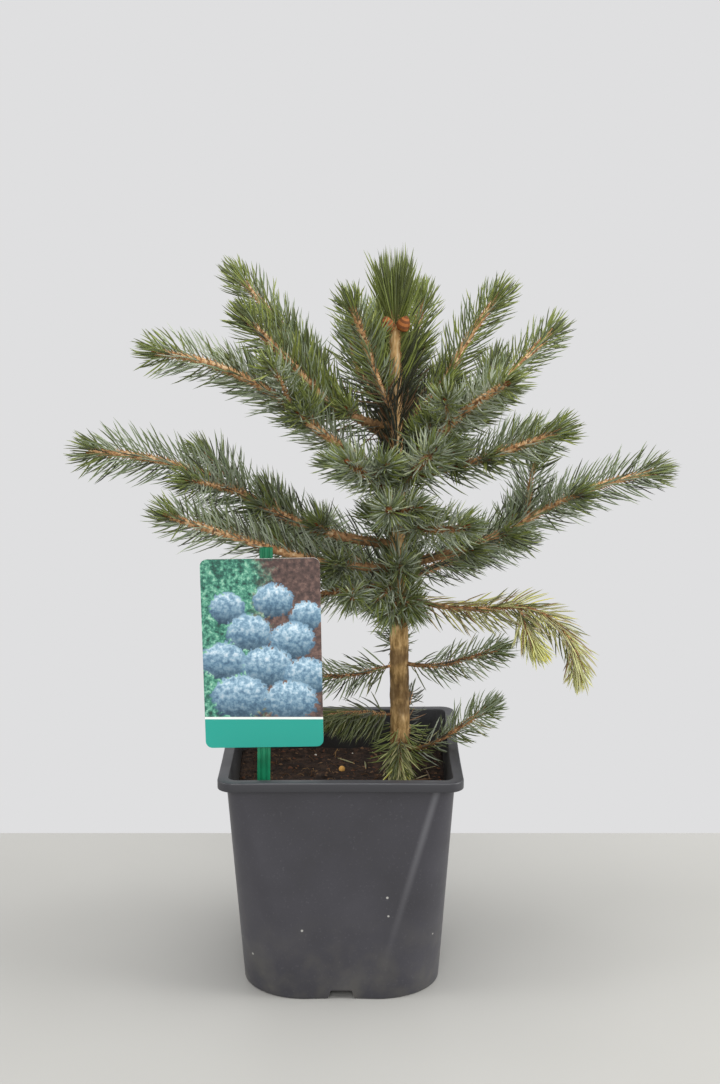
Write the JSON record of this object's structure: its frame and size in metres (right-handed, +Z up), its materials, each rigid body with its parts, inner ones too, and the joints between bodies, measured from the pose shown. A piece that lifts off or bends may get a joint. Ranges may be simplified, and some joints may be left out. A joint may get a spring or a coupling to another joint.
{
  "type": "potted blue spruce",
  "caption": "Young blue spruce with a straight trunk and whorls of needled branches, in a square tapered nursery pot of peat, with a picture label on a stake.",
  "frame": {"origin": "centre of the pot's flat underside", "axes": "+Z up, +X to the right seen from the label side, -Y towards the front"},
  "size_m": [0.3528, 0.2076, 0.4299],
  "materials": {
    "pot_plastic": "matt moulded",
    "peat": "loose peat",
    "bark": "rough bark",
    "young_bark": "ridged young bark",
    "needles_blue": "waxy",
    "needles_fresh": "waxy",
    "needles_yellow": "waxy",
    "needles_olive": "dull",
    "label_print": "printed",
    "label_stake": "moulded"
  },
  "bodies": {
    "root": {"pot": "pot_plastic", "soil": "peat", "trunk": "bark", "label_card": "label_print", "label_stake": "label_stake", "bough_foot_right": "young_bark", "needles_foot_right": "needles_olive", "needles_foot_left": "needles_olive", "needles_foot_front": "needles_olive", "needles_foot_back": "needles_olive", "bough_low_right": "young_bark", "needles_low_right": "needles_blue", "needles_low_left": "needles_blue", "needles_low_back": "needles_blue", "bough_yellow_right": "young_bark", "needles_yellow_right": "needles_yellow", "needles_label_left": "needles_blue", "bough_low_back_left": "young_bark", "needles_low_back_left": "needles_blue", "bough_wide_left": "young_bark", "needles_wide_left": "needles_blue", "bough_wide_right": "young_bark", "needles_wide_right": "needles_blue", "bough_front_left": "young_bark", "needles_front_left": "needles_blue", "needles_front_right": "needles_blue", "needles_front": "needles_blue", "bough_back_right": "young_bark", "needles_back_right": "needles_blue", "bough_back_left": "young_bark", "needles_back_left": "needles_blue", "bough_high_left": "young_bark", "needles_high_left": "needles_blue", "bough_high_front_right": "young_bark", "needles_high_front_right": "needles_blue", "bough_high_right": "young_bark", "needles_high_right": "needles_blue", "needles_high_front": "needles_blue", "needles_high_front_low": "needles_blue", "bough_high_back": "young_bark", "needles_high_back": "needles_blue", "bough_top_back_left": "young_bark", "needles_top_back_left": "needles_fresh", "bough_top_left": "young_bark", "needles_top_left": "needles_fresh", "needles_top_front": "needles_fresh", "needles_top_back_left_upright": "needles_fresh", "needles_top_back_right_upright": "needles_fresh", "bough_top_right": "young_bark", "needles_top_right": "needles_fresh", "bough_top_back_right": "young_bark", "needles_top_back_right": "needles_fresh", "needles_top_back": "needles_fresh", "needles_trunk_low": "needles_blue", "needles_leader": "needles_blue", "needles_leader_tip": "needles_fresh"}
  },
  "joints": []
}
